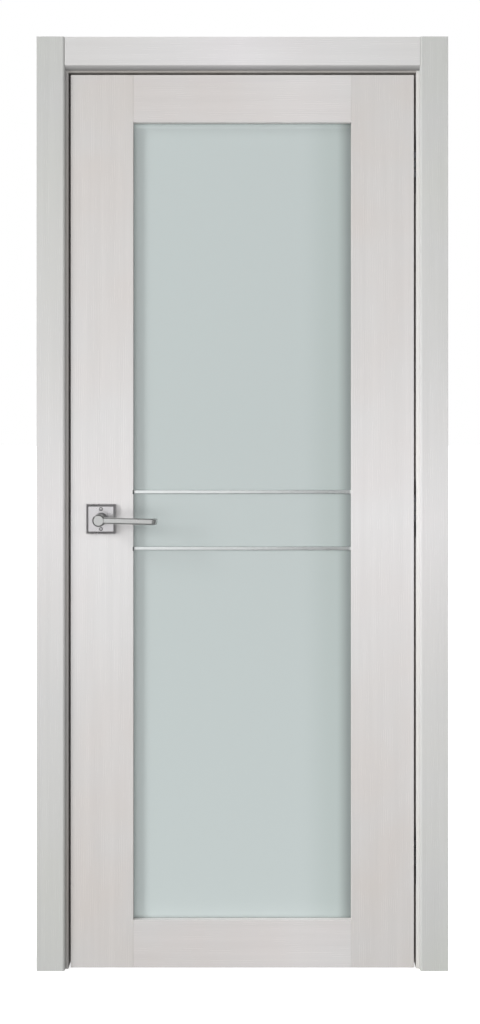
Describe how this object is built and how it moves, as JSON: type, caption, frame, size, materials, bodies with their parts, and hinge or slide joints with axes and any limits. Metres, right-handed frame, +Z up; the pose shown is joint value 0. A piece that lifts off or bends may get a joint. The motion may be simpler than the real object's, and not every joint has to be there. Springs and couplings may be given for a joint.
{
  "type": "glazed interior door with frame",
  "caption": "Interior door leaf with a tall satin-glass light divided by thin metal bars, square-rose lever handles and concealed hinges, hung in a lined and cased frame.",
  "frame": {"origin": "on the wall face of the hinge jamb, at floor level, halfway through the wall", "axes": "+X out of the hinge jamb into the wall, +Y away from the viewer (through the wall, away from the side the leaf opens to), +Z up the door"},
  "size_m": [0.91, 0.1701, 2.066],
  "materials": {
    "leaf_laminate": "pale oak-grain laminate, satin",
    "lining_laminate": "pale oak-grain laminate, satin",
    "casing_laminate": "pale oak-grain laminate, satin",
    "satin_glass": "satin etched, grey-green",
    "satin_aluminium": "satin anodised",
    "grey_seal_rubber": "soft matt grey",
    "satin_nickel": "satin nickel plate",
    "brushed_stainless": "fine brushed stainless steel",
    "latch_polymer": "moulded black polymer bolt face",
    "hinge_steel": "zinc-plated steel",
    "hinge_zinc": "satin die-cast zinc",
    "spindle_steel": "plain square steel bar"
  },
  "bodies": {
    "frame": {"hinge_jamb": "lining_laminate", "lock_jamb": "lining_laminate", "head_jamb": "lining_laminate", "hinge_stop": "lining_laminate", "lock_stop": "lining_laminate", "head_stop": "lining_laminate", "hinge_seal": "grey_seal_rubber", "lock_seal": "grey_seal_rubber", "head_seal": "grey_seal_rubber", "front_casing_hinge_side": "casing_laminate", "front_casing_lock_side": "casing_laminate", "front_casing_head": "casing_laminate", "back_casing_hinge_side": "casing_laminate", "back_casing_lock_side": "casing_laminate", "back_casing_head": "casing_laminate", "strike_plate": "brushed_stainless", "upper_hinge_cup": "hinge_zinc", "middle_hinge_cup": "hinge_zinc", "lower_hinge_cup": "hinge_zinc"},
    "leaf": {"lock_stile": "leaf_laminate", "hinge_stile": "leaf_laminate", "top_rail": "leaf_laminate", "bottom_rail": "leaf_laminate", "upper_pane": "satin_glass", "middle_pane": "satin_glass", "lower_pane": "satin_glass", "upper_glazing_bar": "satin_aluminium", "lower_glazing_bar": "satin_aluminium", "glazing_gasket": "grey_seal_rubber", "lock_forend": "brushed_stainless", "latch_bolt": "latch_polymer", "front_rosette": "satin_nickel", "back_rosette": "satin_nickel", "upper_hinge_leaf_cup": "hinge_zinc", "middle_hinge_leaf_cup": "hinge_zinc", "lower_hinge_leaf_cup": "hinge_zinc"},
    "handle": {"front_lever": "satin_nickel", "back_lever": "satin_nickel", "spindle": "spindle_steel"},
    "hinge_arms": {"upper_hinge_arm": "hinge_steel", "middle_hinge_arm": "hinge_steel", "lower_hinge_arm": "hinge_steel"}
  },
  "joints": [
    {"name": "door_swing", "type": "hinge", "parent": "frame", "child": "leaf", "pos_m": [-0.0375, -0.0512, 1], "axis": [0, 0, 1], "range_deg": [0, 100]},
    {"name": "lever_turn", "type": "hinge", "parent": "leaf", "child": "handle", "pos_m": [-0.734, -0.03, 0.999], "axis": [0, 1, 0], "range_deg": [0, 45], "stiffness_Nm_per_rad": 2, "springref_deg": -11.46},
    {"name": "hinge_arm_turn", "type": "hinge", "parent": "frame", "child": "hinge_arms", "pos_m": [-0.0135, -0.04126, 1], "axis": [0, 0, 1], "range_deg": [0, 50]}
  ],
  "couplings": [
    {"joint": "hinge_arm_turn", "follows": "door_swing", "ratio": 0.5}
  ]
}
